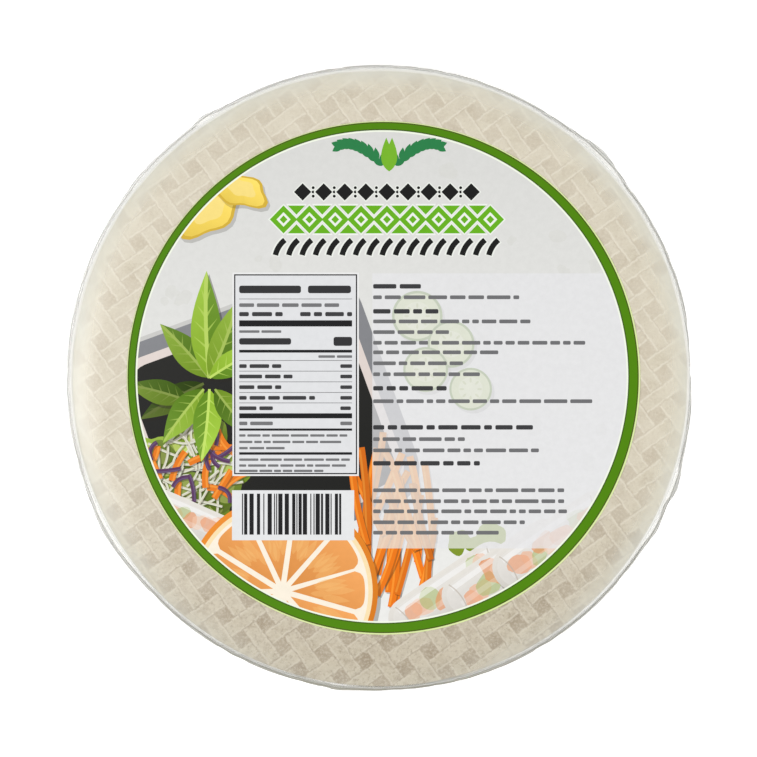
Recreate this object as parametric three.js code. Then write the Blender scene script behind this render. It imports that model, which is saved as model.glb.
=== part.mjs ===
// A sealed round pack of rice paper wrappers, lying flat.
// A stack of thin round sheets is held in clear shrink film, and a round printed paper
// label is stuck on the upper face, with a second one on the face that it lies on.
// Millimetres, +Z up, origin at the middle of the underside.

import * as THREE from 'three';
import { mergeVertices } from 'three/addons/utils/BufferGeometryUtils.js';

// The stack: 32 dry wrappers of the common 22 cm size, pressed thinner at their rims.
const sheetDiameter = 220;
const packThickness = 14;
const rimDrop = 1.3;
const rimDropWidth = 12;

// The shrink film round it, which meets in a thin seam halfway up the side.
const filmRadius = 112.07;
const filmClearance = 0.35;
const shoulderHeight = 2.2;
const seamThickness = 0.5;
const seamRootInset = 0.9;
const seamRootHalfHeight = 0.9;
const puckerDepth = 0.28;
const pleatsAround = 60;

// Where the seam stands out or pulls in, as [degrees round, millimetres, half width in degrees].
// The four large ones are the corners of the film sleeve, shrunk into small ears.
const filmEars = [
  [45.5, 1.7, 5],
  [124, 1.0, 2.2],
  [140, 0.35, 5],
  [210, 1.15, 7.5],
  [262, 0.55, 3],
  [331.5, 1.0, 3],
  [340, 1.45, 3],
  [3, -1.1, 8],
  [85, -0.25, 26],
  [275, -0.4, 12],
];

// The round paper labels.
const labelDiameter = 182.8;
const labelThickness = 0.25;
const labelOffCentre = 1.3;
const recessClearance = 0.3;

// Facets.
const filmSteps = 240;
const labelSteps = 120;
const shoulderRows = 3;
const dropRows = 3;

const clearFilm = new THREE.MeshStandardMaterial({ color: 0xd9d3c6, roughness: 0.3, metalness: 0 });
const labelPaper = new THREE.MeshStandardMaterial({ color: 0xe4e4e0, roughness: 0.55, metalness: 0 });

// A fixed sequence of numbers from 0 to 1, so that the pleats are the same on every run.
function seededNumbers(seed, count) {
  const numbers = [];
  let state = seed;
  for (let i = 0; i < count; i += 1) {
    state = (state * 16807) % 2147483647;
    numbers.push(state / 2147483647);
  }
  return numbers;
}

// How far the angle a is from the angle b, in degrees, the short way round.
function degreesApart(a, b) {
  const apart = Math.abs(a - b) % 360;
  return Math.min(apart, 360 - apart);
}

// The seam's radius at an angle: the mean circle with a bell-shaped bump for each ear.
function seamRadius(degrees) {
  let radius = filmRadius;
  for (const [middle, height, halfWidth] of filmEars) {
    radius += height * Math.exp(-((degreesApart(degrees, middle) / halfWidth) ** 2));
  }
  return radius;
}

// The film's pleats between the shoulder and the seam: a value from -1 to 1 that runs
// smoothly from one seeded number to the next.
const pleatNumbers = seededNumbers(20317, pleatsAround);
function pleat(degrees) {
  const place = (degrees / 360) * pleatsAround;
  const index = Math.floor(place) % pleatsAround;
  const next = (index + 1) % pleatsAround;
  const share = place - Math.floor(place);
  const smooth = share * share * (3 - 2 * share);
  return 2 * (pleatNumbers[index] * (1 - smooth) + pleatNumbers[next] * smooth) - 1;
}

// Half of the pack's section at one angle, from the middle height out and up to the flat of
// the face. Each point is [radius, height above the middle].
function halfSection(degrees) {
  const seam = seamRadius(degrees);
  const half = packThickness / 2;
  const sheetEdge = sheetDiameter / 2;
  const points = [];
  points.push([seam, seamThickness / 2]);
  points.push([Math.min(seam - seamRootInset, sheetEdge + 2), seamRootHalfHeight]);

  // The slack film from the seam to the shoulder, drawn in and out by the pleats.
  const shoulderStart = half - rimDrop - shoulderHeight;
  const wallRadius = sheetEdge + filmClearance + puckerDepth;
  points.push([wallRadius + puckerDepth * pleat(degrees), (seamRootHalfHeight + shoulderStart) / 2]);

  // The shoulder, a quarter of an ellipse round the sheets' edges.
  const shoulderReach = shoulderHeight;
  const shoulderMiddle = wallRadius - shoulderReach;
  for (let i = 0; i <= shoulderRows; i += 1) {
    const turn = (Math.PI / 2) * (i / shoulderRows) * 0.8;
    const pleated = puckerDepth * pleat(degrees + 90) * Math.cos(turn);
    points.push([
      shoulderMiddle + shoulderReach * Math.cos(turn) + pleated * 0.5,
      shoulderStart + shoulderHeight * Math.sin(turn) / Math.sin(0.8 * Math.PI / 2),
    ]);
  }

  // The face slopes up from the shoulder to the flat, as the rims are pressed together.
  const slopeStart = shoulderMiddle + shoulderReach * Math.cos(0.8 * Math.PI / 2);
  const slopeEnd = sheetEdge - rimDropWidth;
  for (let i = 1; i <= dropRows; i += 1) {
    const share = i / dropRows;
    points.push([
      slopeStart + (slopeEnd - slopeStart) * share,
      half - rimDrop * (1 - share) ** 2,
    ]);
  }
  return points;
}

// The whole section, from the middle of the underside out and round to the middle of the top.
// The underside has a shallow round recess that the lower label fills.
function wholeSection(degrees) {
  const middle = packThickness / 2;
  const recessRadius = labelDiameter / 2 + recessClearance;
  const upper = halfSection(degrees).map(([radius, height]) => [radius, middle + height]);
  const lower = halfSection(degrees).map(([radius, height]) => [radius, middle - height]);
  lower.reverse();
  return [[recessRadius, labelThickness], [recessRadius, 0], ...lower, ...upper];
}

// A closed shell round +Z: one section for each step round, and a point at each pole.
function shellGeometry() {
  const sections = [];
  for (let step = 0; step < filmSteps; step += 1) {
    sections.push(wholeSection((360 * step) / filmSteps));
  }
  const rows = sections[0].length;
  const positions = [];
  sections.forEach((section, step) => {
    const turn = (2 * Math.PI * step) / filmSteps;
    for (const [radius, height] of section) {
      positions.push(radius * Math.cos(turn), radius * Math.sin(turn), height);
    }
  });
  const bottomPole = filmSteps * rows;
  const topPole = bottomPole + 1;
  positions.push(0, 0, labelThickness);
  positions.push(0, 0, packThickness);

  const faces = [];
  for (let step = 0; step < filmSteps; step += 1) {
    const here = step * rows;
    const there = ((step + 1) % filmSteps) * rows;
    faces.push(bottomPole, there, here);
    for (let row = 0; row < rows - 1; row += 1) {
      faces.push(here + row, there + row, there + row + 1);
      faces.push(here + row, there + row + 1, here + row + 1);
    }
    faces.push(topPole, here + rows - 1, there + rows - 1);
  }
  const geometry = new THREE.BufferGeometry();
  geometry.setAttribute('position', new THREE.Float32BufferAttribute(positions, 3));
  geometry.setIndex(faces);
  geometry.computeVertexNormals();
  return geometry;
}

// A round label, a thin disc lying on its lower face.
function labelGeometry() {
  const radius = labelDiameter / 2;
  const disc = new THREE.CylinderGeometry(radius, radius, labelThickness, labelSteps);
  disc.rotateX(Math.PI / 2);
  disc.translate(0, 0, labelThickness / 2);
  disc.deleteAttribute('uv');
  disc.deleteAttribute('normal');
  const merged = mergeVertices(disc);
  merged.computeVertexNormals();
  return merged;
}

const wrappedStack = new THREE.Mesh(shellGeometry(), clearFilm);
wrappedStack.name = 'wrapped_stack';

const upperLabel = new THREE.Mesh(labelGeometry(), labelPaper);
upperLabel.name = 'upper_label';
upperLabel.position.set(labelOffCentre, 0, packThickness);

const lowerLabel = new THREE.Mesh(labelGeometry(), labelPaper);
lowerLabel.name = 'lower_label';

// The ears make the outline uneven, so the pack is moved until its box is centred.
wrappedStack.geometry.computeBoundingBox();
const boxMiddle = wrappedStack.geometry.boundingBox.getCenter(new THREE.Vector3());

const pack = new THREE.Group();
pack.add(wrappedStack, upperLabel, lowerLabel);
pack.position.set(-boxMiddle.x, -boxMiddle.y, 0);

export default pack;
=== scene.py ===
import math

import bpy
import numpy as np
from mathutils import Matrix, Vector
from mathutils.geometry import delaunay_2d_cdt


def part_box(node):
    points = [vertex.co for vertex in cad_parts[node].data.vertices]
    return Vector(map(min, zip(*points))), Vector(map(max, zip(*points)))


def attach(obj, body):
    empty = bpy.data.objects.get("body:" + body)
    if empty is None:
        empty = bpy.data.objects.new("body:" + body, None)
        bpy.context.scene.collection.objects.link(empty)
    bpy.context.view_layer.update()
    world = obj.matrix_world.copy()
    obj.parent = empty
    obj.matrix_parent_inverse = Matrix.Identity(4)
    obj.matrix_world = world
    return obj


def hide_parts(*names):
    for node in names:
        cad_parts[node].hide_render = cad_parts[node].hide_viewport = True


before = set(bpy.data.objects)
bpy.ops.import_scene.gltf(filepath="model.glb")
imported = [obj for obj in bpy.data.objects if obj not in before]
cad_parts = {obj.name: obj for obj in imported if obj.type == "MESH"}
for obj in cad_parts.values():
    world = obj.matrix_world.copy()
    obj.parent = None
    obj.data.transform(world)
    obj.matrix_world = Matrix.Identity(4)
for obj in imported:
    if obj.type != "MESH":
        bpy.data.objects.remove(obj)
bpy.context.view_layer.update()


# The rice paper sheets: 32 discs of dried rice batter, thin, brittle and cream coloured.
# Each took the pattern of the woven bamboo mat that it dried on, as a plain weave of flat
# strips with square holes between them. The two outer ones show; the rest show at the rim.
mm = 0.001
under_low, under_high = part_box("lower_label")
stack_x = (under_low.x + under_high.x) / 2
stack_y = (under_low.y + under_high.y) / 2
pack_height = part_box("wrapped_stack")[1].z
half_height = pack_height / 2
sheet_radius = 109.8 * mm
outer_sheet_radius = 109.9 * mm
sheet_thickness = 0.16 * mm
sheet_count = 32
sheet_gap_to_film = 0.07 * mm
rim_drop = 1.3 * mm
rim_drop_start = 98 * mm
rim_drop_end = 108.8 * mm
recess_depth = 0.15 * mm
recess_reach = 91.5 * mm
strip_width = 4.95 * mm
strip_pitch = (10.43 * mm, 10.5 * mm)
strip_edge = 0.22 * mm
groove_width = 0.42 * mm
mat_turn = math.radians(35.5)
mat_shift = (0.4706, 0.0)
mat_depth = 0.14 * mm
paper_roughness = 0.6
rng = np.random.default_rng(41)


def smooth_step(low, high, value):
    """0 below low, 1 above high, and 3 t^2 - 2 t^3 of the share t between them."""
    share = np.clip((value - low) / (high - low), 0, 1)
    return share * share * (3 - 2 * share)


def mat_relief(x, y, turn=mat_turn, shift=mat_shift):
    """Height of the mat's pattern, 1 on a strip and 0 in a hole or a groove.
    s and t count the strips each way: s = (x cos turn + y sin turn) / pitch - shift, and t
    the same a quarter turn on. A strip is where s, or t, is within half a strip's width of a
    whole number. Where round(s) + round(t) is even the s strip lies on top, and elsewhere the
    t strip does, and the lower one ends in a narrow groove beside the upper one."""
    s = (x * math.cos(turn) + y * math.sin(turn)) / strip_pitch[0] - shift[0]
    t = (y * math.cos(turn) - x * math.sin(turn)) / strip_pitch[1] - shift[1]
    from_s = np.abs(s - np.round(s)) * strip_pitch[0]
    from_t = np.abs(t - np.round(t)) * strip_pitch[1]
    half = strip_width / 2
    on_s = 1 - smooth_step(half - strip_edge, half + strip_edge, from_s)
    on_t = 1 - smooth_step(half - strip_edge, half + strip_edge, from_t)
    near_s = 1 - smooth_step(half + groove_width - strip_edge, half + groove_width + strip_edge, from_s)
    near_t = 1 - smooth_step(half + groove_width - strip_edge, half + groove_width + strip_edge, from_t)
    even = (np.round(s) + np.round(t)) % 2 < 0.5
    return np.where(even, np.maximum(on_s, on_t * (1 - near_s)), np.maximum(on_t, on_s * (1 - near_t)))


def rim_squeeze(radius):
    """Share of its height above or below the middle that a sheet keeps at a radius: the film
    presses the rims together by rim_drop, as the square of the way from start to end."""
    way = np.clip((radius - rim_drop_start) / (rim_drop_end - rim_drop_start), 0, 1.12)
    return 1 - rim_drop * way ** 2 / half_height


def mesh_piece(name, points, faces, material, smooth=True):
    """A mesh object at the origin from an array of points and an array of each face's corners,
    as numbers of points."""
    mesh = bpy.data.meshes.new(name)
    mesh.from_pydata(points.tolist(), [], faces.tolist())
    mesh.materials.append(material)
    mesh.polygons.foreach_set("use_smooth", np.full(len(mesh.polygons), smooth))
    mesh.update()
    piece = bpy.data.objects.new(name, mesh)
    bpy.context.scene.collection.objects.link(piece)
    return piece


def ring_points(radii, heights):
    """Points round the stack's axis, from rows of radii and heights at even steps of a turn:
    x = stack_x + radius cos(turn), y = stack_y + radius sin(turn), z = height."""
    steps = radii.shape[1]
    turn = np.arange(steps) * 2 * np.pi / steps
    x = stack_x + radii * np.cos(turn)
    y = stack_y + radii * np.sin(turn)
    return np.stack([x, y, heights + 0 * radii], axis=-1).reshape(-1, 3)


def ring_quads(rows, steps):
    """The numbers of the four corners of the quads between each row and the next, and between
    the last row and the first."""
    here = np.arange(steps)
    there = (here + 1) % steps
    row = np.arange(rows)[:, None] * steps
    above = (row + steps) % (rows * steps)
    return row + here, row + there, above + there, above + here


def turned_shell(radii, heights, first=0):
    """Points and faces of a closed surface round the stack's axis.
    radii[i, j] and heights[i, j] give row i at j steps of a full turn, and the first and last
    rows close on a point on the axis at their mean height.
    first is added to every number in the faces, for shells that are joined in one mesh."""
    rows, steps = radii.shape
    poles = [[stack_x, stack_y, heights[0].mean()], [stack_x, stack_y, heights[-1].mean()]]
    points = np.concatenate([ring_points(radii, heights), poles])
    a, b, c, d = (corner[:-1] for corner in ring_quads(rows, steps))
    lower_left = np.stack([a, b, c], axis=-1).reshape(-1, 3)
    upper_right = np.stack([a, c, d], axis=-1).reshape(-1, 3)
    pole = np.full(steps, rows * steps)
    bottom = np.stack([pole, b[0], a[0]], axis=-1)
    top = np.stack([pole + 1, d[-1], c[-1]], axis=-1)
    return points, np.concatenate([lower_left, upper_right, bottom, top]) + first


def outer_sheet(name, up, material):
    """The top sheet, or with up = -1 the bottom one. Its outer face is a fine grid where the
    label leaves it bare, with z = middle + up * (height at the rim's squeeze + relief). Under
    its label the bottom sheet is pressed in by the recess's depth."""
    steps = 1400
    grid_start = 88 * mm
    face_end = outer_sheet_radius - 0.1 * mm
    outer_radii = np.concatenate([[30 * mm, 70 * mm], np.linspace(grid_start, face_end, 52)])[::-1]
    inner_radii = np.array([40 * mm, 85 * mm, 98 * mm, 104 * mm, face_end])
    turn = np.arange(steps) * 2 * np.pi / steps
    radii = np.concatenate([inner_radii, [outer_sheet_radius], outer_radii])[:, None] + np.zeros(steps)
    lift = half_height - sheet_gap_to_film - mat_depth
    heights = lift * rim_squeeze(radii) - sheet_thickness / 2
    relief = mat_relief(radii * np.cos(turn), radii * np.sin(turn)) * mat_depth
    relief = relief * (radii > grid_start - 1 * mm)
    on_outer = np.arange(len(radii)) > len(inner_radii)
    heights = heights + np.where(on_outer[:, None], sheet_thickness / 2 + relief, 0)
    heights[~on_outer] -= sheet_thickness / 2
    if up < 0:
        heights = heights - recess_depth * (1 - smooth_step(recess_reach, 94 * mm, radii))
        radii = radii[::-1]
        heights = heights[::-1]
    points, faces = turned_shell(radii, half_height + up * heights)
    piece = mesh_piece(name, points, faces, material)
    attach(piece, "root")
    return piece


class Shading:
    """A new material and its nodes. A node's inputs are given by name or number, each as a
    value or as another node's output."""

    def __init__(self, name):
        self.material = bpy.data.materials.new(name)
        self.material.use_nodes = True
        self.material.node_tree.nodes.clear()

    def node(self, kind, inputs, operation=None):
        """A new shader node of a kind."""
        tree = self.material.node_tree
        node = tree.nodes.new("ShaderNode" + kind)
        if operation:
            node.operation = operation
        for socket, value in inputs.items():
            if isinstance(value, bpy.types.NodeSocket):
                tree.links.new(value, node.inputs[socket])
            else:
                node.inputs[socket].default_value = value
        return node

    def finished(self, surface):
        """The material, with a shader node as its surface."""
        self.node("OutputMaterial", {0: surface.outputs[0]})
        return self.material

    def place(self):
        """The Object coordinates."""
        return self.node("TexCoord", {}).outputs["Object"]

    def math(self, operation, *values, clamp=False):
        """A Math node's output."""
        node = self.node("Math", dict(enumerate(values)), operation)
        node.use_clamp = clamp
        return node.outputs[0]

    def vector(self, operation, *values):
        """A Vector Math node."""
        return self.node("VectorMath", dict(enumerate(values)), operation)

    def ramp(self, value, low, high, from_value=0.0, to_value=1.0):
        """A smooth change from from_value to to_value while value goes from low to high."""
        ends = {"From Min": low, "From Max": high, "To Min": from_value, "To Max": to_value}
        node = self.node("MapRange", {"Value": value, **ends})
        node.interpolation_type = "SMOOTHSTEP"
        return node.outputs[0]

    def mix(self, share, *colours):
        """A Mix node's colour: the first where share is 0, the second where it is 1."""
        first, second = ((*c, 1) if isinstance(c, tuple) else c for c in colours)
        node = self.node("Mix", {0: share, 6: first, 7: second})
        node.data_type = "RGBA"
        return node.outputs[2]

    def noise(self, vector, scale, detail, roughness=0.5):
        """A Noise texture's value at a vector, with scale in features for each metre."""
        inputs = {"Vector": vector, "Scale": scale, "Detail": detail, "Roughness": roughness}
        return self.node("TexNoise", inputs).outputs["Fac"]

    def paper(self, colour, roughness, relief=None, strength=0):
        """The material, as dull paper of a colour, bumped by a relief if it has one."""
        inputs = {"Base Color": colour, "Roughness": roughness, "Specular IOR Level": 0.15}
        if relief is not None:
            bump = {"Strength": strength, "Distance": 0.05 * mm, "Height": relief}
            inputs["Normal"] = self.node("Bump", bump).outputs[0]
        return self.finished(self.node("BsdfPrincipled", inputs))


def mat_marks(look, place, turn, shift, edge):
    """The mat's pattern in nodes, by the rule of mat_relief: how much a point is on a strip's
    mark, on the lip of one, which is painted pale as a highlight, in a groove, which is painted dark as
    shade, and the tone from 0 to 1 of the strip there.
    edge is how soft the marks' outlines are, as a share of the pitch."""
    on_mat = look.node("Mapping", {"Vector": place})
    on_mat.vector_type = "TEXTURE"
    on_mat.inputs["Location"].default_value = (stack_x, stack_y, 0)
    on_mat.inputs["Rotation"].default_value = (0, 0, turn)
    on_mat.inputs["Scale"].default_value = (*strip_pitch, 1)
    split = look.node("SeparateXYZ", {0: on_mat.outputs[0]})
    half = strip_width / 2 / strip_pitch[0]
    beyond = half + groove_width / strip_pitch[0]
    counts, wholes, on_strip, near_strip, lips = ([] for _ in range(5))
    for axis in (0, 1):
        count = look.math("SUBTRACT", split.outputs[axis], shift[axis])
        whole = look.math("ROUND", count)
        away = look.math("ABSOLUTE", look.math("SUBTRACT", count, whole))
        counts.append(count)
        wholes.append(whole)
        on_strip.append(look.ramp(away, half - edge, half + edge, 1, 0))
        near_strip.append(look.ramp(away, beyond - edge, beyond + edge, 1, 0))
        lips.append(look.ramp(away, half - 0.085, half - 0.02, 0, 1))
    odd = look.math("PINGPONG", look.math("ADD", wholes[0], wholes[1]), 1)
    even = look.math("SUBTRACT", 1, odd)
    seen, lip_seen, tones = ([] for _ in range(3))
    for axis, other_on_top in ((0, odd), (1, even)):
        cut_off = look.math("MULTIPLY", other_on_top, near_strip[1 - axis])
        left_over = look.math("SUBTRACT", 1, cut_off)
        seen.append(look.math("MULTIPLY", on_strip[axis], left_over))
        lip_seen.append(look.math("MULTIPLY", seen[axis], lips[axis]))
        along = look.node("CombineXYZ", {axis: wholes[axis], 1 - axis: counts[1 - axis]})
        tone = look.noise(along.outputs[0], 1.37, 1, 0.5)
        tones.append(look.math("MULTIPLY", look.ramp(tone, 0.3, 0.7), seen[axis]))
    marks = look.math("MAXIMUM", seen[0], seen[1])
    lip = look.math("MAXIMUM", lip_seen[0], lip_seen[1])
    any_strip = look.math("MAXIMUM", on_strip[0], on_strip[1])
    groove = look.math("SUBTRACT", any_strip, marks, clamp=True)
    return marks, lip, groove, look.math("MAXIMUM", tones[0], tones[1])


def rice_paper_material(name):
    """Dry rice paper. The strips' marks are pale with paler lips, painted as a highlight, the holes
    tan and the grooves darkest, as painted shade, with edges that waver by reach. Each strip has its
    own tone, small bubbles fleck it, and the next sheet's marks show through. Painted shade darkens
    it towards the near side, at lower y, where the holes and grooves are darker too; the pale speckle's
    cover follows the same ramp."""
    plate = (0.67, 0.605, 0.47)
    pale = (0.84, 0.78, 0.65)
    # The lips' colour is a painted highlight along the edges of the strips' marks.
    lip_highlight_colour = (0.90, 0.85, 0.725)
    # Holes and grooves: the first colour is at the near side, darker as painted shade, the second away
    # from it.
    holes = ((0.43, 0.35, 0.245), (0.615, 0.54, 0.415))
    # The grooves are painted darker than the holes, as painted shade in the gaps beside the upper
    # strips.
    groove_shade_colours = ((0.36, 0.29, 0.205), (0.56, 0.48, 0.36))
    # Painted shade: the colour is multiplied by the first tint at the near side and by the second away
    # from it.
    painted_shade_tint = (0.79, 0.77, 0.74)
    unshaded_tint = (0.96, 0.96, 0.96)
    look = Shading(name)
    place = look.place()
    waver = look.node("TexNoise", {"Vector": place, "Scale": 420, "Detail": 4})
    reach = 0.7 * mm
    span = (2 * reach, 2 * reach, 0)
    shifted = look.vector("MULTIPLY_ADD", waver.outputs["Color"], span, place).outputs[0]
    centred = look.vector("SUBTRACT", shifted, (reach, reach, 0)).outputs[0]
    marks, lip, groove, strip_tone = mat_marks(look, centred, mat_turn, mat_shift, 0.036)
    under_marks = mat_marks(look, centred, mat_turn + 0.62, (0.2, 0.7), 0.05)[0]
    broad = look.noise(place, 60, 3)
    fine = look.noise(place, 1100, 3, 0.65)
    worn = look.ramp(look.noise(place, 330, 3, 0.6), 0.36, 0.56, 0.35, 1)
    fleck = look.ramp(look.noise(place, 1000, 2, 0.5), 0.56, 0.68)
    split = look.node("SeparateXYZ", {0: place})
    # 0 at the near side's edge, in the painted shade, and 1 from near the middle on.
    out_of_painted_shade = look.ramp(split.outputs[1], stack_y - 110 * mm, stack_y - 8 * mm)
    speckle = look.ramp(out_of_painted_shade, 0, 1, 0.55, 0.34)
    # This darker tan is painted shade in the grooves, and the own colour of the bubble flecks.
    groove_shade_and_fleck_tan = look.mix(out_of_painted_shade, *groove_shade_colours)
    layers = (
        (marks, worn, plate),
        (lip, 0.62, lip_highlight_colour),
        (strip_tone, 0.30, pale),
        (look.ramp(fine, 0.42, 0.68), speckle, pale),
        (fleck, speckle, groove_shade_and_fleck_tan),
        (under_marks, 0.14, pale),
    )
    colour = look.mix(groove, look.mix(out_of_painted_shade, *holes), groove_shade_and_fleck_tan)
    for mask, cover, layer_colour in layers:
        colour = look.mix(look.math("MULTIPLY", mask, cover), colour, layer_colour)
    colour = look.mix(look.ramp(broad, 0.3, 0.7, 0, 0.22), colour, pale)
    shade_tint = look.mix(out_of_painted_shade, painted_shade_tint, unshaded_tint)
    shaded_colour = look.vector("MULTIPLY", colour, shade_tint).outputs[0]
    return look.paper(shaded_colour, paper_roughness, fine, 0.25)


rice_paper = rice_paper_material("rice_paper")
top_sheet = outer_sheet("top_sheet", 1, rice_paper)
bottom_sheet = outer_sheet("bottom_sheet", -1, rice_paper)


# The sheets between them, stacked a little out of line, with rims that wave by the mat's
# marks. They are one mesh of closed discs, and stand out a little more at the near side.
inner_thickness = 0.24 * mm
inner_top_level = half_height - 0.36 * mm
inner_face_radii = (97, 104, 108.4, 109.6)
near_side_lean = 0.1 * mm
rim_wave = 0.12 * mm
wave_start = 100 * mm
lean_start = 90 * mm


def sheet_edge_material(name):
    """The cut rims of dry rice paper: cream, with a tone that changes from sheet to sheet and
    slowly along each, from a noise squeezed in z. The cream is lighter than the faces' paper, painted
    light that offsets the shade on the pack's side."""
    look = Shading(name)
    squeezed = look.node("Mapping", {"Vector": look.place(), "Scale": (1, 1, 25)})
    tone = look.ramp(look.noise(squeezed.outputs[0], 110, 3, 0.6), 0.35, 0.65)
    # Painted light: these creams are lighter than the faces' paper, to offset the shade on the side.
    colour = look.mix(tone, (0.80, 0.72, 0.57), (0.95, 0.90, 0.78))
    return look.paper(colour, paper_roughness)


def inner_sheets(name, material):
    """Each disc has its own radius, shift and mat. z = middle + (level + wave) * squeeze,
    where the wave is the mat's relief taken at the disc's own turn, near the rim only."""
    steps = 400
    turn = np.arange(steps) * 2 * np.pi / steps
    face_radii = np.array(inner_face_radii) / inner_face_radii[-1]
    all_points = []
    all_faces = []
    first = 0
    for level in np.linspace(-1, 1, sheet_count)[1:-1] * inner_top_level:
        radius = sheet_radius - (rng.uniform(0, 0.35) + 0.5 * abs(level / half_height) ** 6) * mm
        wander = rng.uniform(-0.2, 0.2, 2) * mm - (0, near_side_lean)
        own_turn = mat_turn + rng.uniform(-0.5, 0.5)
        own_shift = rng.uniform(0, 1, 2)
        face = (radius * face_radii)[:, None] + np.zeros(steps)
        relief = mat_relief(face * np.cos(turn), face * np.sin(turn), own_turn, own_shift) - 0.5
        wave = relief * rim_wave * (face > wave_start)
        middle = (level + wave) * rim_squeeze(face)
        radii = np.concatenate([face, face[::-1]])
        heights = np.concatenate([middle - inner_thickness / 2, middle[::-1] + inner_thickness / 2])
        lean = wander[0] * np.cos(turn) + wander[1] * np.sin(turn)
        radii = radii + lean * (radii > lean_start)
        points, faces = turned_shell(radii, half_height + heights, first)
        first += len(points)
        all_points.append(points)
        all_faces.append(faces)
    piece = mesh_piece(name, np.concatenate(all_points), np.concatenate(all_faces), material)
    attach(piece, "root")
    return piece


middle_sheets = inner_sheets("middle_sheets", sheet_edge_material("rice_paper_edges"))


# The shrink film: a clear sleeve that was sealed and shrunk round the stack. It is taut on
# both faces, cloudy where it stands off the rims, and pleated on the side, where it runs out
# to a thin seam halfway up. The sleeve's corners shrank into small ears.
film_radius = 112.05 * mm
film_clearance = 0.35 * mm
shoulder_height = 2.2 * mm
shoulder_reach = 1.4 * mm
seam_root_inset = 0.9 * mm
seam_root_limit = sheet_radius + 2.2 * mm
seam_root_half_height = 0.9 * mm
pucker_depth = 0.28 * mm
# Radius and width of the thin painted highlight line on the film's faces, over the sheets' rims.
rim_highlight_radius = 110.0 * mm
rim_highlight_width = 0.35 * mm
side_cloud = 0.14
nick_depth = 0.22 * mm
crease_height = 0.10 * mm
slope_slack = 0.38 * mm
slope_ripple = 0.10 * mm
slope_sag = 0.12 * mm
flat_end = 88 * mm
film_ears = (
    (45.5, 1.7, 5), (124, 1.0, 2.2), (140, 0.35, 5), (210, 1.15, 7.5), (262, 0.55, 3),
    (331.5, 1.0, 3), (340, 1.45, 3), (3, -1.1, 8), (85, -0.25, 26), (275, -0.4, 12),
)


def bell(degrees, middle, half_width):
    """exp(-(apart / half width)^2), where apart is the short way round between two angles."""
    apart = np.abs(degrees - middle) % 360
    return np.exp(-(np.minimum(apart, 360 - apart) / half_width) ** 2)


def round_waves(degrees, counts, seed):
    """A sum of sines round the pack, one for each count, with seeded strengths and starts."""
    draw = np.random.default_rng(seed)
    total = np.zeros(np.shape(degrees))
    for count in counts:
        strength = draw.uniform(0.4, 1)
        start = draw.uniform(0, 6.28)
        total = total + strength * np.sin(np.radians(degrees) * count + start)
    return total / math.sqrt(len(counts))


def seam_radius(degrees):
    """The mean circle, cut back a little by uneven nicks, with a bell for each ear."""
    nicks = np.clip(round_waves(degrees, (23, 37, 53, 71, 89), 13), 0, 1)
    radius = film_radius - nick_depth * nicks
    for middle, height, half_width in film_ears:
        radius = radius + height * mm * bell(degrees, middle, half_width)
    return radius


def seam_root(degrees):
    """The radius at which the seam leaves the film's side."""
    return np.minimum(seam_radius(degrees) - seam_root_inset, seam_root_limit)


def film_half(degrees):
    """Rows of the film from the seam's root up to the face, as radii and as heights above the
    middle. The side leans in from the seam, the shoulder is a quarter of an ellipse, and the
    face slopes up as half_height - out^2 * (rim_drop - (1 - out) * loose), where out is the
    share of the way back from the slope's end. Pleats, creases and looseness are sums of
    sines."""
    rows = []

    def add_row(radius, height):
        """One row, whose radius and height are the same all round or one for each degree."""
        rows.append(np.broadcast_arrays(radius, height, degrees)[:2])

    wall = sheet_radius + 0.2 * mm + film_clearance + pucker_depth
    root = seam_root(degrees)
    shoulder_start = half_height - rim_drop - shoulder_height
    pleats = round_waves(degrees, (17, 29, 41, 67, 97, 131), 5) * pucker_depth * 0.35
    side_rows = 14
    for i in range(side_rows):
        share = i / side_rows
        crease = round_waves(degrees, (3, 7, 12, 19, 31), 11 + i) * crease_height
        lean = root + (wall - root) * smooth_step(0, 1, share)
        height = seam_root_half_height + (shoulder_start - seam_root_half_height) * share
        add_row(lean + (crease + pleats) * math.sin(math.pi * share), height)
    shoulder_rows = 9
    last_turn = 0.8 * math.pi / 2
    shoulder_middle = wall - shoulder_reach
    for i in range(shoulder_rows):
        turn = last_turn * i / shoulder_rows
        rise = shoulder_height * math.sin(turn) / math.sin(last_turn)
        add_row(shoulder_middle + shoulder_reach * math.cos(turn), shoulder_start + rise)
    slope_start = shoulder_middle + shoulder_reach * math.cos(last_turn)
    sag = round_waves(degrees, (5, 8, 13), 47) * slope_sag
    slope_rows = 22
    for i in range(slope_rows + 1):
        share = i / slope_rows
        ripple = round_waves(degrees + 8 * share, (17, 29, 43, 61), 31) * slope_ripple
        drop = rim_drop - share * (slope_slack + ripple + sag)
        radius = slope_start + (rim_drop_start - slope_start) * share
        add_row(radius, half_height - (1 - share) ** 2 * drop)
    flat_rows = 8
    for i in range(1, flat_rows + 1):
        add_row(rim_drop_start + (flat_end - rim_drop_start) * i / flat_rows, half_height)
    return np.array(rows).transpose(1, 0, 2)


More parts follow.
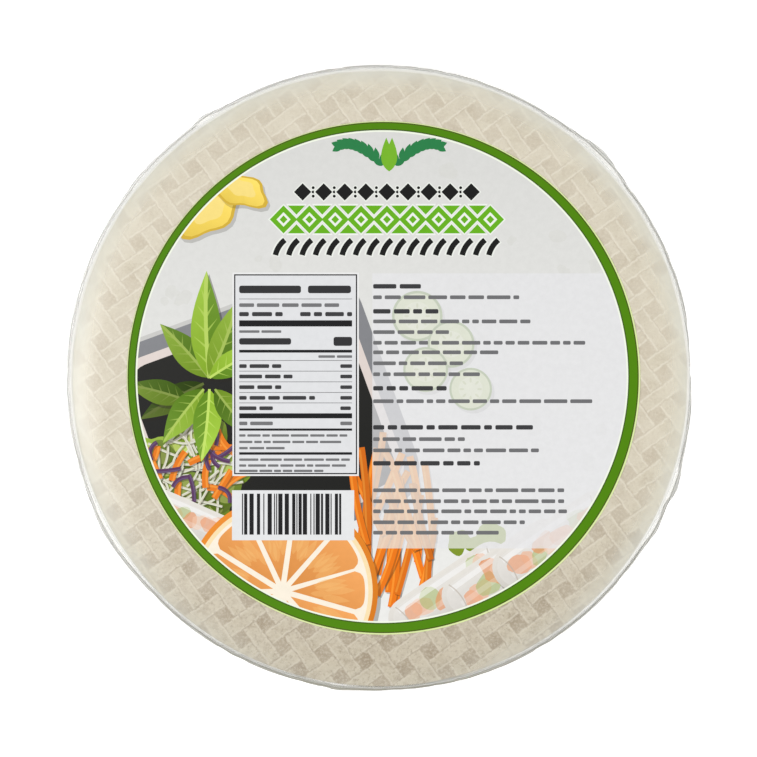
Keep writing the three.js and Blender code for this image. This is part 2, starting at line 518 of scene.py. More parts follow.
def film_cloud_and_highlight(radii, degrees):
    """How cloudy the film is at a point of a face, from 0 to 1, with a painted highlight added: the
    haze grows from where the rims drop to the shoulder, in soft patches and less at the near side,
    where the film clings. A thin line where it is drawn over the sheets' rims is whitest, a painted
    highlight of the film's shoulder, faded at the near side."""
    slack = smooth_step(100 * mm, 111 * mm, radii)
    clings = bell(degrees, 265, 50)
    patches = 0.5 + 0.5 * round_waves(degrees + radii * 900, (5, 9, 14, 23, 38), 71)
    veil = (0.05 + 0.62 * slack) * (1 - 0.75 * clings) * (0.8 + 0.4 * np.clip(patches, 0, 1))
    # Painted highlight: a thin white line on the shoulder, over the sheets' rims, faded where the film
    # clings.
    fold = np.exp(-((radii - rim_highlight_radius) / rim_highlight_width) ** 2)
    return np.clip(veil + 0.75 * fold * (1 - clings), 0, 0.95)


def point_values(piece, name, values):
    """Gives each point of a piece its value in a named attribute."""
    piece.data.attributes.new(name, "FLOAT", "POINT").data.foreach_set("value", values)


def attribute_value(look, name):
    """The value of a named attribute."""
    node = look.node("Attribute", {})
    node.attribute_name = name
    return node.outputs["Fac"]


def mix_shaders(look, share, first, second):
    """A Mix Shader node: first where share is 0, second where it is 1."""
    return look.node("MixShader", {0: share, 1: first.outputs[0], 2: second.outputs[0]})


def film_material(name):
    """Clear film: a clear sheet with a pale haze by its cloud attribute, whitest on the painted
    highlight line that the attribute carries, and over both a soft mirror that grows at a glancing
    angle as 0.075 + 0.9 facing^5, for the film's two faces."""
    look = Shading(name)
    facing = look.node("LayerWeight", {}).outputs["Facing"]
    glancing = look.math("MULTIPLY", look.math("POWER", facing, 5), 0.9)
    both_faces = look.math("ADD", glancing, 0.075, clamp=True)
    cloud_and_highlight = attribute_value(look, "cloud_and_highlight")
    # The haze turns whiter where the attribute is highest, mostly on the painted highlight line.
    whitest = look.ramp(cloud_and_highlight, 0.7, 0.95)
    haze_colour = look.mix(whitest, (0.74, 0.755, 0.69), (0.93, 0.92, 0.86))
    haze = look.node("BsdfPrincipled", {"Base Color": haze_colour, "Roughness": 0.4})
    body = mix_shaders(look, cloud_and_highlight, look.node("BsdfTransparent", {}), haze)
    mirror = look.node("BsdfGlossy", {"Roughness": 0.3})
    return look.finished(mix_shaders(look, both_faces, body, mirror))


film_steps = 900
film_degrees = np.arange(film_steps) * 360 / film_steps
upper_radii, upper_heights = film_half(film_degrees)
lower_radii = upper_radii[::-1]
recess = recess_depth * (1 - smooth_step(recess_reach, 93 * mm, lower_radii))
lower_heights = half_height - upper_heights[::-1] + recess
film_radii = np.concatenate([lower_radii, upper_radii])
film_heights = np.concatenate([lower_heights, half_height + upper_heights])
film_points, film_faces = turned_shell(film_radii, film_heights)
clear_film = film_material("clear_film")
film = mesh_piece("shrink_film", film_points, film_faces, clear_film)
on_side = smooth_step(sheet_radius + 0.3 * mm, sheet_radius + 0.9 * mm, film_radii)
cloud_and_highlight_values = film_cloud_and_highlight(film_radii, film_degrees) * (1 - on_side) + side_cloud * on_side
point_values(film, "cloud_and_highlight", np.append(cloud_and_highlight_values.ravel(), [0, 0]))
film.visible_shadow = False
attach(film, "root")
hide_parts("wrapped_stack")
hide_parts("wrapped_stack")


# The film's seam: the two layers welded together and trimmed, a thin cloudy fin that stands
# out halfway up the side. Its outline is uneven, and widest at its ears.
seam_crease_pitch = 0.75 * mm
seam_wave = 0.28 * mm
fold_tuck = 0.7 * mm


def seam_fin(name, material):
    """A flat ring with a thin edge: radius from inside the film's side out to seam_radius,
    and z = middle + side * thickness + a small wave that grows outwards. Its weld attribute,
    from 0 to 1, is a bell round each of two angles: high where the seam folded over on itself
    at the near side, where the material also paints it darker as painted shade, and low where it is a
    single clean weld at the left."""
    folded = bell(film_degrees, 268, 50)
    single = bell(film_degrees, 165, 45)
    inner = seam_root(film_degrees) - 0.05 * mm - fold_tuck * folded
    shares = np.array([0, 0.3, 0.55, 0.8, 0.95, 1.0])[:, None]
    thickness = np.array([0.25, 0.12, 0.08, 0.07, 0.05, 0.02])[:, None] * mm
    lift = round_waves(film_degrees, (6, 11, 23, 37, 53), 91) * seam_wave * shares ** 2
    radii = inner + (seam_radius(film_degrees) - inner) * shares
    loop_radii = np.concatenate([radii, radii[::-1]])
    loop_heights = np.concatenate([lift - thickness, (lift + thickness)[::-1]])
    points = ring_points(loop_radii, half_height + loop_heights)
    faces = np.stack(ring_quads(*loop_radii.shape), axis=-1).reshape(-1, 4)
    piece = mesh_piece(name, points, faces, material)
    # This value also carries painted shade: the seam's material is darker where it is high, at the near
    # side.
    weld_and_shade = 0.38 + 0.62 * folded - 0.38 * single
    point_values(piece, "weld_and_shade", np.tile(weld_and_shade, len(loop_radii)))
    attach(piece, "root")
    return piece


def seam_material(name):
    """Welded film, cloudy and grey, the grey a painted shade, with creases that run round it: a wave
    of the distance from the stack's axis, pushed in and out by a noise, is painted dark in its troughs
    as shade in the creases, and denser there. Its weld attribute makes it denser and darker, partly for
    the double fold and partly as painted shade at the near side."""
    look = Shading(name)
    place = look.place()
    from_axis = look.vector("SUBTRACT", place, (stack_x, stack_y, half_height)).outputs[0]
    distance = look.vector("LENGTH", from_axis).outputs["Value"]
    turns = look.math("MULTIPLY", distance, 2 * math.pi / seam_crease_pitch)
    push = look.math("MULTIPLY", look.noise(place, 70, 2, 0.5), 14.0)
    wave = look.math("SINE", look.math("ADD", turns, push))
    weld_and_shade = attribute_value(look, "weld_and_shade")
    # Painted shade: the seam's grey, darkest in the crease troughs and where the weld value is high.
    trough = look.mix(weld_and_shade, (0.60, 0.61, 0.59), (0.29, 0.285, 0.24))
    ridge = look.mix(weld_and_shade, (0.87, 0.88, 0.86), (0.45, 0.44, 0.38))
    colour = look.mix(look.ramp(wave, -0.9, 0.5), trough, ridge)
    single_cover = look.ramp(wave, -0.9, 0.5, 0.6, 0.25)
    cover = look.math("ADD", single_cover, look.math("MULTIPLY", weld_and_shade, 0.45))
    clear = look.node("BsdfTransparent", {})
    welded = look.node("BsdfPrincipled", {"Base Color": colour, "Roughness": 0.2})
    return look.finished(mix_shaders(look, cover, clear, welded))


film_seam = seam_fin("film_seam", seam_material("welded_film"))


# The printed labels: discs of coated paper, stuck on the film. The print is flat fields of
# colour inside a green ring. Outlines are in millimetres from the label's middle, x to the
# right and y up as it is read, colours are screen values from 0 to 255.
label_radius = 91.4
ring_outer = 91.0
ring_outer_shift = (-0.15, 0.13)
ring_inner = 87.7
ring_inner_shift = (-0.57, 0.48)
ring_edge = 0.45
label_sheet = 0.12 * mm
label_gap = 0.01 * mm
arc_points = 48
ring_sides = 240


def polar(a, radii=1.0):
    """radius cos(a), radius sin(a)."""
    return np.stack([radii * np.cos(a), radii * np.sin(a)], axis=-1)


def disc(x, y, radius, points=arc_points):
    """A circle round x, y, with its corners at even angles."""
    return polar(np.linspace(0, 2 * np.pi, points, endpoint=False), radius) + (x, y)


def placed(outline, x, y, degrees):
    """An outline turned by an angle about its own origin and moved to x, y."""
    a = math.radians(degrees)
    turned_x = outline[:, 0] * math.cos(a) - outline[:, 1] * math.sin(a)
    turned_y = outline[:, 0] * math.sin(a) + outline[:, 1] * math.cos(a)
    return np.stack([x + turned_x, y + turned_y], axis=-1)


def box_outline(width, height, x=0, y=0):
    """A rectangle with its middle at x, y."""
    return np.array([[-1, -1], [1, -1], [1, 1], [-1, 1]]) * (width / 2, height / 2) + (x, y)


def round_box(width, height, corner, x=0, y=0):
    """A rectangle with its middle at x, y and quarter circles at its corners."""
    arc = polar(np.linspace(0, np.pi / 2, 7)) * corner
    corners = []
    for quarter, (sign_x, sign_y) in enumerate([(1, 1), (-1, 1), (-1, -1), (1, -1)]):
        middle = (sign_x * (width / 2 - corner), sign_y * (height / 2 - corner))
        corners.append(placed(arc, *middle, 90 * quarter))
    return np.concatenate(corners) + (x, y)


def strand_outline(length, width, bend):
    """A strip of even width along a parabola: y = bend * (1 - (2 s - 1)^2)."""
    s = np.linspace(0, 1, 13)
    x = length * (s - 0.5)
    y = bend * (1 - (2 * s - 1) ** 2)
    slope = np.gradient(y, x)
    long = np.hypot(1, slope)
    side = np.stack([-slope / long, 1 / long], axis=-1) * width / 2
    line = np.stack([x, y], axis=-1)
    return np.concatenate([line - side, (line + side)[::-1]])


def blob_outline(radius, uneven, draw, points=28):
    """A closed loop of radius * (1 + uneven * a few seeded waves)."""
    a = np.linspace(0, 2 * np.pi, points, endpoint=False)
    wave = sum(draw.uniform(-1, 1) * np.sin(k * a + draw.uniform(0, 6.28)) / k for k in (2, 3, 4, 5))
    return polar(a, radius * (1 + uneven * wave))


class Print:
    """The fields of a print from the bottom up: outline, colour, cover from 0 to 1, and a
    shade that changes the colour along a direction."""

    def __init__(self):
        self.fields = []

    def add(self, outline, colour, cover=1.0, shade=0.0, shade_turn=90.0):
        """One field on top of those before. shade is how much lighter or darker, in screen
        values, the colour gets from the outline's middle to its end in that direction."""
        following = np.roll(outline, -1, axis=0)
        if np.sum(outline[:, 0] * following[:, 1] - outline[:, 1] * following[:, 0]) < 0:
            outline = outline[::-1]
        direction = math.radians(shade_turn)
        self.fields.append((outline, np.array(colour, float), cover, shade, direction))

    def shadow(self, outline, x=0.9, y=-1.1, cover=0.3):
        """A soft dark field beside a thing that lies on the ones below."""
        self.add(outline + (x, y), (40, 36, 30), cover)


def linear(screen):
    """Screen values from 0 to 255 as linear light."""
    value = np.clip(screen, 0, 255) / 255
    return np.where(value <= 0.04045, value / 12.92, ((value + 0.055) / 1.055) ** 2.4)


def printed_label(name, art, middle_x, middle_y, base_z, up, material):
    """A closed paper disc whose outer face is cut along every outline of its print. Each
    triangle's colour is what the fields that hold it lay over each other, from the bottom up,
    and the art counts only inside the ring. up is 1 for a face that looks up, -1 for down."""
    base = (
        ((0, 0), label_radius, (222, 236, 168), 0),
        (ring_outer_shift, ring_outer, (74, 96, 22), 0),
        (ring_outer_shift, ring_outer - ring_edge, (80, 134, 8), 0),
        (ring_inner_shift, ring_inner + ring_edge, (66, 96, 24), 0),
        (ring_inner_shift, ring_inner, (243, 249, 232), 0),
        (ring_inner_shift, ring_inner - 0.6, (227, 227, 224), -9),
    )
    fields = [
        (disc(*shift, radius, ring_sides), np.array(colour, float), 1.0, shade, math.pi / 2)
        for shift, radius, colour, shade in base
    ]
    fields += art.fields
    points = np.concatenate([field[0] for field in fields])
    starts = np.cumsum([0] + [len(field[0]) for field in fields])
    loops = [list(range(a, b)) for a, b in zip(starts[:-1], starts[1:])]
    cut = delaunay_2d_cdt([Vector(p) for p in points.tolist()], [], loops, 0, 1e-5, True)
    flat = np.array([(p.x, p.y) for p in cut[0]])
    triangles = np.array(cut[2])
    holders = cut[5]
    held = np.zeros((len(fields), len(triangles)), bool)
    pairs = np.array([(k, i) for i, holder in enumerate(holders) for k in holder])
    held[pairs[:, 0], pairs[:, 1]] = True
    held[len(base):] &= held[len(base) - 1]
    inside = held[0]
    triangles = triangles[inside]
    held = held[:, inside]
    corners = flat[triangles]
    colours = np.zeros((len(triangles), 3, 3))
    for (outline, colour, cover, shade, direction), here in zip(fields, held):
        along = np.array([math.cos(direction), math.sin(direction)])
        centre = (outline.max(0) + outline.min(0)) / 2
        reach = np.abs((outline - centre) @ along).max()
        way = (corners[here] - centre) @ along / reach
        painted = colour + shade * way[..., None]
        colours[here] = colours[here] * (1 - cover) + painted * cover
    used, triangles = np.unique(triangles, return_inverse=True)
    triangles = triangles.reshape(-1, 3)
    flat = flat[used]
    edges = np.concatenate([triangles[:, [0, 1]], triangles[:, [1, 2]], triangles[:, [2, 0]]])
    count = len(flat)
    rim = edges[~np.isin(edges @ (count, 1), edges @ (1, count))]
    rim_points = np.unique(rim)
    below = np.full(count, -1)
    below[rim_points] = count + np.arange(len(rim_points))
    a, b = rim.T
    wall_one = np.stack([a, below[a], below[b]], axis=-1)
    wall_two = np.stack([a, below[b], b], axis=-1)
    centre_index = count + len(rim_points)
    back_face = np.stack([np.full(len(rim), centre_index), below[b], below[a]], axis=-1)
    plan = np.concatenate([flat, flat[rim_points], [[0, 0]]]) * mm
    heights = np.where(np.arange(len(plan)) < count, base_z + up * label_sheet, base_z)
    shape = np.stack([middle_x + plan[:, 0], middle_y + up * plan[:, 1], heights], axis=-1)
    faces = np.concatenate([triangles, wall_one, wall_two, back_face])
    paper = np.full((len(faces) - len(triangles), 3, 3), 235.0)
    tones = linear(np.concatenate([colours, paper]))
    piece = mesh_piece(name, shape, faces, material, smooth=False)
    rgba = np.concatenate([tones.reshape(-1, 3), np.ones((len(faces) * 3, 1))], axis=1)
    layer = piece.data.color_attributes.new("print", "FLOAT_COLOR", "CORNER")
    layer.data.foreach_set("color", rgba.ravel())
    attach(piece, "root")
    return piece


def label_material(name):
    """Coated paper: the print's own colours with a faint mottle, under a semi gloss coat."""
    look = Shading(name)
    ink = look.node("VertexColor", {})
    ink.layer_name = "print"
    mottle = look.noise(look.place(), 420, 4, 0.6)
    darker = look.ramp(mottle, 0.3, 0.7, 0.965, 1.0)
    printed = look.node("VectorMath", {0: ink.outputs[0], "Scale": darker}, "SCALE")
    return look.paper(printed.outputs[0], 0.42, mottle, 0.08)


def leaf_lines(length, width, bend):
    """A leaf's edge, midrib and other edge, from its stalk at the origin along +x. The half
    width is width / 2 * sin(pi s^0.8) and the midrib bends sideways by bend * s^2."""
    s = np.linspace(0, 1, 15)
    half = width / 2 * np.sin(np.pi * s ** 0.8)
    middle = bend * s ** 2
    return [np.stack([length * s, middle + side * half], axis=-1) for side in (-1, 0, 1)]


def closed_loop(out, back):
    """The loop out along one line and back along another, which share their ends."""
    return np.concatenate([out, back[::-1][1:-1]])


def add_leaf(art, x, y, degrees, length, width, bend, tone):
    """A pointed leaf: a dark half, a lighter half, pale side veins and a pale midrib."""
    lower, middle, upper = leaf_lines(length, width, bend)
    whole = placed(closed_loop(lower, upper), x, y, degrees)
    art.shadow(whole, cover=0.35)
    art.add(whole, np.array((98, 136, 36)) * tone, shade=16, shade_turn=degrees)
    lit = placed(closed_loop(middle, upper), x, y, degrees)
    art.add(lit, np.array((142, 178, 56)) * tone, shade=18, shade_turn=degrees)
    vein_colour = np.array((176, 202, 96)) * tone
    for side, edge in ((-1, lower), (1, upper)):
        for i in range(2, 11, 2):
            root = middle[i]
            tip = root + (edge[i + 2] - root) * 0.86
            across = np.array([0.0, 0.016 * length])
            vein = np.array([root - across, tip, root + across])
            art.add(placed(vein, x, y, degrees), vein_colour, 0.7)
    rib = np.concatenate([middle - (0, 0.018 * length), (middle + (0, 0.018 * length))[::-1]])
    rib[[14, 15]] = middle[-1]
    art.add(placed(np.delete(rib, 15, axis=0), x, y, degrees), vein_colour)


def add_stick(art, x, y, degrees, length, width, bend, colour):
    """A cut stick or a strand: its body, and a lighter strip along one side."""
    body = placed(strand_outline(length, width, bend), x, y, degrees)
    art.shadow(body, 0.5, -0.5, 0.28)
    art.add(body, colour)
    glint = strand_outline(length * 0.96, width * 0.3, bend) + (0, width * 0.22)
    art.add(placed(glint, x, y, degrees), np.minimum(np.array(colour) + (16, 34, 30), 255), 0.8)


def add_roll(art, x, y, degrees, length, width, draw):
    """A filled roll in thin rice paper: the filling shows as soft patches through the skin."""
    skin = placed(round_box(length, width, width * 0.46), x, y, degrees)
    art.shadow(skin, 1.2, -1.6, 0.3)
    art.add(skin, (216, 212, 205), shade=14, shade_turn=degrees + 90)
    fillings = ((232, 128, 72), (238, 158, 112), (150, 172, 84), (228, 116, 52), (240, 186, 150))
    for i in range(9):
        along = (i - 4) * (length - width) / 9
        patch = blob_outline(width * draw.uniform(0.17, 0.27), 0.5, draw, 16) * (1.25, 0.9)
        patch = placed(patch, along, draw.uniform(-0.17, 0.17) * width, draw.uniform(0, 180))
        art.add(placed(patch, x, y, degrees), fillings[i % 5], 0.62)
    inner = placed(round_box(length * 0.93, width * 0.8, width * 0.37), x, y, degrees)
    art.add(inner, (240, 238, 236), 0.24)
    for side, cover in ((0.28, 0.5), (-0.12, 0.22)):
        sheen = strand_outline(length * 0.78, width * 0.12, width * 0.03) + (0, width * side)
        art.add(placed(sheen, x, y, degrees), (250, 250, 250), cover)
    for end in (-1, 1):
        fold = strand_outline(width * 0.8, 0.5, end * 1.4)
        fold = placed(fold, end * (length / 2 - width * 0.34), 0, 90)
        art.add(placed(fold, x, y, degrees), (186, 176, 164), 0.6)


def add_citrus(art, x, y, radius, segments, draw):
    """A round slice of citrus: rind, pith and rounded wedges of flesh with pale streaks."""
    art.shadow(disc(x, y, radius), 1.2, -1.4, 0.3)
    art.add(disc(x, y, radius, 96), (226, 132, 38), shade=12, shade_turn=120)
    art.add(disc(x, y, radius * 0.945, 96), (250, 226, 178))
    art.add(disc(x, y, radius * 0.9, 96), (250, 240, 222))
    for i in range(segments):
        middle = 2 * np.pi * (i + draw.uniform(-0.05, 0.05)) / segments
        half = np.pi / segments * 0.9
        a = np.linspace(-half, half, 13)
        corner = 1 - 0.09 * (np.abs(a) / half) ** 6
        wedge = np.concatenate([[[radius * 0.1, 0]], polar(a, radius * 0.865 * corner)])
        wedge = placed(wedge, x, y, math.degrees(middle))
        art.add(wedge, (232, 156, 84), shade=14, shade_turn=60)
        for streak in np.linspace(-0.62, 0.62, 5):
            start = radius * draw.uniform(0.28, 0.45)
            length = radius * draw.uniform(0.2, 0.36)
            cell = closed_loop(*leaf_lines(length, length * 0.26, 0)[::2]) + (start, 0)
            cell = placed(cell, x, y, math.degrees(middle + streak * half))
            art.add(cell, (246, 190, 118), 0.4)
    art.add(disc(x, y, radius * 0.07, 20), (250, 240, 222))


def add_salad(art, x, y, reach, draw):
    """A heap of cut greens, thin noodles, carrot sticks and purple cabbage, drawn from the
    bottom up at seeded places within an ellipse."""
    def spot():
        """A seeded place in the heap and a seeded angle."""
        turn = draw.uniform(0, 2 * np.pi)
        out = math.sqrt(draw.uniform(0, 1))
        place_x = x + reach[0] * out * math.cos(turn)
        return place_x, y + reach[1] * out * math.sin(turn), draw.uniform(0, 360)

    for _ in range(26):
        place = spot()
        size = draw.uniform(4, 7.5)
        frill = placed(blob_outline(size, 0.55, draw), *place)
        tone = draw.uniform(0.7, 1.1)
        art.shadow(frill, cover=0.25)
        art.add(frill, np.array((128, 156, 50)) * tone, shade=20)
        heart = placed(blob_outline(size * 0.6, 0.7, draw), *place)
        art.add(heart, np.array((178, 196, 98)) * tone)
    cuts = (
        (46, (9, 18), 0.85, 3, (212, 206, 188)),
        (15, (9, 15), 2.3, 1, (232, 124, 34)),
        (10, (6, 11), 1.5, 2, (92, 58, 96)),
    )
    for count, lengths, width, bend, colour in cuts:
        for _ in range(count):
            add_stick(art, *spot(), draw.uniform(*lengths), width, draw.uniform(-bend, bend), colour)


def add_dashes(art, left, y, length, height, colour, draw):
    """A row of plain bars of seeded lengths."""
    x = left
    while x < left + length - 1.5:
        dash = min(draw.uniform(2.2, 8.5), left + length - x)
        art.add(round_box(dash, height, height * 0.3, x + dash / 2, y), colour)
        x += dash + height * 0.75


def add_table_panel(art, draw):
    """The white panel at the left: an outline, and rows of plain bars between thin and thick
    rules. Depths are measured from the panel's top edge, and a row starts at the panel's left
    or ends at its right."""
    left = -53.2
    right = -9.4
    top = 36.9
    width = right - left
    height = top + 34.3
    middle = ((left + right) / 2, top - height / 2)
    for grow, colour in ((1.2, (236, 236, 236)), (0, (36, 36, 38)), (-0.9, (225, 226, 228))):
        art.add(box_outline(width + grow, height + grow, *middle), colour)
    inset = 1.8
    left += inset
    right -= inset
    for depth, thickness in ((17.5, 2.2), (27.4, 1.0), (50.4, 1.8), (55.3, 0.8), (63.8, 0.9)):
        art.add(box_outline(right - left, thickness, middle[0], top - depth), (30, 30, 32))
    for depth in (8.8, 30.7, 34.5, 38.3, 42.1, 45.8):
        art.add(box_outline(right - left, 0.22, middle[0], top - depth), (120, 120, 122))
    bars = (
        (left, left + 22, 5.4, 2.7), (left + 24.5, right - 0.4, 5.4, 2.7),
        (left, left + 18.5, 23.9, 2.3), (right - 6.6, right, 23.9, 3.2),
    )
    for start, end, depth, thickness in bars:
        bar = round_box(end - start, thickness, 0.8, (start + end) / 2, top - depth)
        art.add(bar, (52, 52, 54))
    black = (62, 62, 64)
    grey = (118, 118, 120)
    rows = [
        (False, 11.0, 38, 1.3, grey), (False, 14.2, 15.5, 1.5, black),
        (True, 14.2, 18.5, 1.5, black), (False, 20.4, 15, 0.9, grey), (True, 29.3, 12, 0.9, grey),
    ]
    for depth, length in ((32.7, 15), (36.4, 19), (40.2, 15), (44.0, 27), (47.7, 12)):
        rows += [(False, depth, length, 1.35, black), (True, depth, 4.2, 1.3, black)]
    rows += [(False, 53.1, 12, 1.3, grey), (True, 53.1, 4.2, 1.3, grey)]
    for depth, length in ((57.4, 38.5), (59.7, 37), (61.9, 18), (66.0, 39.4), (68.1, 38), (70.0, 30)):
        rows.append((False, depth, length, 0.85, grey))
    for at_right, depth, length, thickness, colour in rows:
        start = right - length if at_right else left
        add_dashes(art, start, top - depth, length, thickness, colour, draw)


def add_bar_block(art, draw):
    """A white box of upright bars of seeded widths."""
    art.add(box_outline(43.5, 17.8, -32.2, -48.9), (230, 231, 232))
    module = 0.38
    x = -50.4
    while x < -14.4:
        width = module * draw.integers(1, 5)
        art.add(box_outline(width, 14.6, x + width / 2, -48.5), (32, 32, 34))
        x += width + module * draw.integers(1, 4)


def add_bands(art):
    """The three ornament bands at the top: lozenges and dots in black, a lattice of lozenges
    in green and a slanting cord in black, each on a pale edge."""
    middle = 1.2
    halo = (240, 243, 236)
    black = (28, 28, 28)
    green = (104, 178, 30)
    lozenge = np.array([[-1, 0], [0, -1], [1, 0], [0, 1]])
    for i in range(9):
        x = middle + (i - 4) * 7.5
        for grow, colour in ((0.5, halo), (0, black)):
            art.add(lozenge * (3.1 + grow) + (x, 66.2), colour)
            if i < 8:
                for spread in (-1.5, 0, 1.5):
                    art.add(disc(x + 3.75, 66.2 + spread, 0.55 + grow * 0.6, 12), colour)
    for grow, colour in ((0.6, halo), (0, green)):
        for i in range(9):
            art.add(lozenge * (4.9 + grow, 5 + grow) + (middle + (i - 4) * 9.2, 56.4), colour)
        for i in range(8):
            for side in (-1, 1):
                base = 4.95 + grow
                gap = np.array([[-3.1 - grow, base], [3.1 + grow, base], [0, 1.7 - grow]])
                art.add(gap * (1, side) + (middle + (i - 3.5) * 9.2, 56.4), colour)
    for i in range(9):
        for size, colour in (((2.5, 2.6), halo), ((1.4, 1.45), green)):
            art.add(lozenge * size + (middle + (i - 4) * 9.2, 56.4), colour)
    for grow, colour in ((0.5, halo), (0, black)):
        for i in range(17):
            twist = strand_outline(6.4 + grow, 2.0 + grow * 2, 0.55)
            art.add(placed(twist, middle + (i - 8) * 4.75, 46.4, 58), colour)


def add_rice_ears(art):
    """Two ears of rice that lean apart, with a leaf between them, at the very top."""
    for side in (-1, 1):
        for along in np.arange(9) / 8:
            x = 2 + side * (2.5 + 14.5 * along)
            y = 75.5 + 7.5 * math.sin(1.9 * along)
            lean = 68 - 75 * along
            for spread in (-24, 24):
                grain = closed_loop(*leaf_lines(5.0 - 1.2 * along, 2.3, 0)[::2])
                grain = placed(grain, 0, 0, lean + spread) * (side, 1) + (x, y)
                art.add(grain, (44, 128, 74))
    blade = placed(closed_loop(*leaf_lines(12, 4.2, 1.5)[::2]), 0, 0, 78)
    for side in (-1, 1):
        art.add(blade * (side, 1) + (2, 73.5), (120, 182, 44))


def add_tray(art):
    """A dark square tray with round corners, a grey edge and a pale lip inside it."""
    centre = (-43, -17)
    size = (96, 86)
    degrees = 20
    layers = ((0, 14, (131, 132, 136)), (5.2, 10, (222, 210, 204)), (8.2, 8, (36, 36, 34)))
    art.shadow(placed(round_box(*size, 14), *centre, degrees), -0.5, 1.4, 0.12)
    for inset, corner, colour in layers:
        outline = round_box(size[0] - 2 * inset, size[1] - 2 * inset, corner)
        art.add(placed(outline, *centre, degrees), colour, shade=5, shade_turn=110)


def add_ginger(art, draw):
    """Two slices of a yellow root with darker skins, at the upper left."""
    for x, y, degrees, reach in ((-63, 59, 30, 1.0), (-51.5, 67, -15, 0.8)):
        shape = blob_outline(9.5 * reach, 0.35, draw) * (1.25, 0.85)
        skin = placed(shape, x, y, degrees)
        art.shadow(skin, 0.8, -1.2, 0.18)
        art.add(skin, (214, 178, 62))
        art.add(placed(shape * 0.88, x, y, degrees), (247, 216, 96), shade=14, shade_turn=60)
        art.add(placed(shape * 0.5, x + 0.8, y + 0.6, degrees), (250, 226, 140), 0.8)


def main_face_print():
    """The print that shows, from the bottom up."""
    draw = np.random.default_rng(77)
    art = Print()
    for _ in range(46):
        reach = 86 * math.sqrt(draw.uniform(0, 1))
        turn = draw.uniform(0, 6.28)
        speck = blob_outline(draw.uniform(0.8, 3.2), 0.6, draw, 12)
        art.add(speck + (reach * math.cos(turn), reach * math.sin(turn)), (214, 214, 208), 0.4)
    add_ginger(art, draw)
    add_tray(art)
    leaves = (
        (-64, -2, 205, 26, 9, 2, 0.55), (-60, -8, 250, 24, 9, -2, 0.6),
        (-58, 4, -12, 26, 9, 2, 0.7), (-70, -8, 160, 22, 9, 2, 0.75),
    )
    for leaf in leaves:
        add_leaf(art, *leaf)
    add_salad(art, -68, -32, (17, 15), draw)
    add_roll(art, -66, -52, -24, 44, 13, draw)
    front_leaves = (
        (-62, 0, 128, 26, 10, 2, 0.9), (-62, 0, 96, 38, 11, -3, 1.05), (-62, 0, 64, 30, 10, 3, 0.95),
        (-62, 0, 34, 24, 9, -2, 1.1), (-64, -4, 228, 24, 10, 2, 1.0), (-62, -4, 268, 26, 10, -2, 1.12),
        (-60, -4, 305, 22, 9, 2, 0.9),
    )
    for leaf in front_leaves:
        add_leaf(art, *leaf)
    for x, y, size in ((12, 22, 9), (24, 12, 8.4), (15, 3, 8), (31, -4, 7.6)):
        art.shadow(disc(x, y, size), cover=0.2)
        for part, colour in ((1, (96, 128, 46)), (0.9, (198, 212, 140)), (0.56, (218, 226, 170))):
            art.add(disc(x, y, size * part), colour)
        for i in range(8):
            seed = disc(0, 0, 1, 10) * (0.9, 0.4) + (size * 0.42, 0)
            art.add(placed(seed, x, y, 45 * i), (176, 190, 112))
    for _ in range(30):
        place = (-12 + 32 * draw.uniform(0, 1), -56 + draw.uniform(-16, 20))
        tone = draw.uniform(0.86, 1.04)
        colour = (240 * tone, 122 * tone, 22)
        degrees = draw.uniform(62, 118)
        length = draw.uniform(24, 40)
        add_stick(art, *place, degrees, length, 2.5, draw.uniform(-2, 2), colour)
    for _ in range(7):
        frill = blob_outline(draw.uniform(3, 6), 0.5, draw)
        art.add(frill + (draw.uniform(24, 44), draw.uniform(-60, -54)), (128, 150, 44))
    for x, y in ((24, -76), (43, -68), (61, -58)):
        add_roll(art, x, y, 34, 50, 16, draw)
    add_citrus(art, -36, -76, 34, 11, draw)
    art.add(box_outline(120, 97.9, 56, -11.75), (229, 229, 231), 0.76)
    dark = (1.6, (60, 60, 62))
    grey = (1.35, (112, 112, 114))
    rows = (
        (32.6, 17, dark), (28.7, 52, grey), (23.7, 25, dark), (20.1, 56, grey), (16.3, 27, grey),
        (12.5, 77, grey), (9.1, 47, grey), (5.2, 33, grey), (1.3, 38, grey), (-3.7, 27, dark),
        (-8.3, 79, grey), (-17.6, 57, dark), (-21.8, 35, grey), (-25.8, 59, grey), (-30.4, 38, dark),
        (-40.0, 68, grey), (-43.9, 68, grey), (-47.5, 69, grey), (-51.4, 54, grey), (-55.1, 45, grey),
    )
    for y, length, style in rows:
        add_dashes(art, -3.7, y, length, *style, draw)
    add_table_panel(art, draw)
    add_bar_block(art, draw)
    add_bands(art)
    add_rice_ears(art)
    return art


def under_face_print():
    """The plainer print of the lower label: the same ornament bands, a ring of leaves round a
    citrus slice, and a fan of rolls, both round one middle."""
    draw = np.random.default_rng(78)
    art = Print()
    middle = (0, -22)
    add_bands(art)
    add_rice_ears(art)
    for i in range(14):
        degrees = 360 / 14 * i + 8
        x, y = placed(np.array([[26, 0]]), *middle, degrees)[0]
        add_leaf(art, x, y, degrees, 25, 9.5, 2, 0.9 + 0.15 * (i % 2))
    for degrees in (200, 235, 270, 305, 340):
        x, y = placed(np.array([[40, 0]]), *middle, degrees)[0]
        add_roll(art, x, y, degrees, 42, 14, draw)
    add_citrus(art, *middle, 30, 11, draw)
    return art


coated_paper = label_material("coated_paper")
upper_low, upper_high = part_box("upper_label")
upper_label = printed_label(
    "upper_label_print", main_face_print(),
    (upper_low.x + upper_high.x) / 2, (upper_low.y + upper_high.y) / 2,
    upper_low.z + label_gap, 1, coated_paper,
)
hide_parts("upper_label")
lower_label = printed_label(
    "lower_label_print", under_face_print(),
    stack_x, stack_y, under_low.z + label_sheet, -1, coated_paper,
)
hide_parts("lower_label")


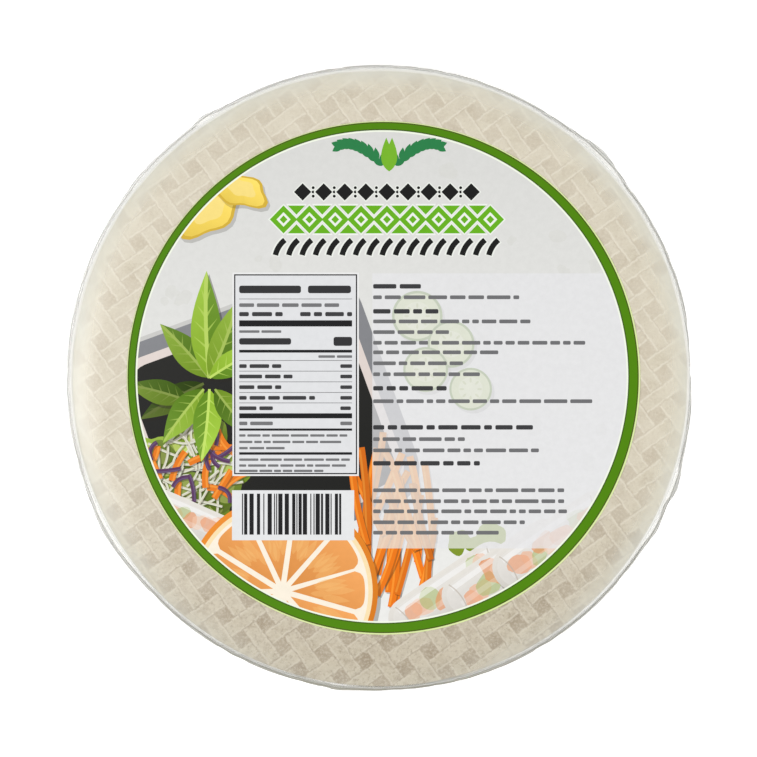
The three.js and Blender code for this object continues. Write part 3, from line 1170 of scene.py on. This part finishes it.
# The studio: a pale floor that is clear from below, an even pale surround, two broad lamps
# that don't show in gloss and a small one at the left that does. The camera looks down.
def soft_light(name, x, y, z, width, depth, watts):
    """A rectangular lamp at x, y, z that faces the pack's middle."""
    lamp = bpy.data.lights.new(name, "AREA")
    lamp.shape = "RECTANGLE"
    lamp.size = width
    lamp.size_y = depth
    lamp.energy = watts
    holder = bpy.data.objects.new(name, lamp)
    holder.location = (x, y, z)
    aim = Vector((stack_x, stack_y, 0)) - holder.location
    holder.rotation_euler = aim.to_track_quat("-Z", "Y").to_euler()
    bpy.context.scene.collection.objects.link(holder)
    return holder


soft_light("left_strip", -0.46, -0.04, 1.0, 0.26, 0.46, 2.1)
left_light = soft_light("left_softbox", -0.58, -0.06, 1.0, 0.7, 0.42, 3.7)
right_light = soft_light("right_softbox", 0.5, -0.08, 0.9, 0.5, 0.5, 3.9)
left_light.visible_glossy = False
right_light.visible_glossy = False

floor_look = Shading("studio_floor")
floor_surface = floor_look.node("BsdfPrincipled", {
    "Base Color": (0.93, 0.93, 0.93, 1),
    "Roughness": 0.9,
    "Emission Color": (1, 1, 1, 1),
    "Emission Strength": 0.4,
})
from_below = floor_look.node("NewGeometry", {}).outputs["Backfacing"]
floor_clear = floor_look.node("BsdfTransparent", {})
floor_mix = mix_shaders(floor_look, from_below, floor_surface, floor_clear)
floor_material = floor_look.finished(floor_mix)
floor_reach = 3.0
floor_gap = 0.02 * mm
floor_plan = box_outline(2 * floor_reach, 2 * floor_reach)
floor_corners = np.append(floor_plan, np.full((4, 1), -floor_gap), axis=1)
floor = mesh_piece("studio_floor", floor_corners, np.array([[0, 1, 2, 3]]), floor_material, False)

world = bpy.data.worlds.new("studio")
world.use_nodes = True
surround = world.node_tree.nodes["Background"].inputs
surround["Color"].default_value = (1, 1, 1, 1)
surround["Strength"].default_value = 0.36
bpy.context.scene.world = world
bpy.context.scene.view_settings.view_transform = "Standard"

image_pixels = 757
pixel_size = 0.356 * mm
stack_pixel = (379.9, 377.9)
camera_height = 2.0
sensor_width = 36
camera_data = bpy.data.cameras.new("camera")
camera_data.sensor_width = sensor_width
camera_data.lens = sensor_width * camera_height / (image_pixels * pixel_size)
camera = bpy.data.objects.new("camera", camera_data)
camera.location = (
    stack_x + (image_pixels / 2 - stack_pixel[0]) * pixel_size,
    stack_y + (stack_pixel[1] - image_pixels / 2) * pixel_size,
    pack_height + camera_height,
)
bpy.context.scene.collection.objects.link(camera)
bpy.context.scene.camera = camera
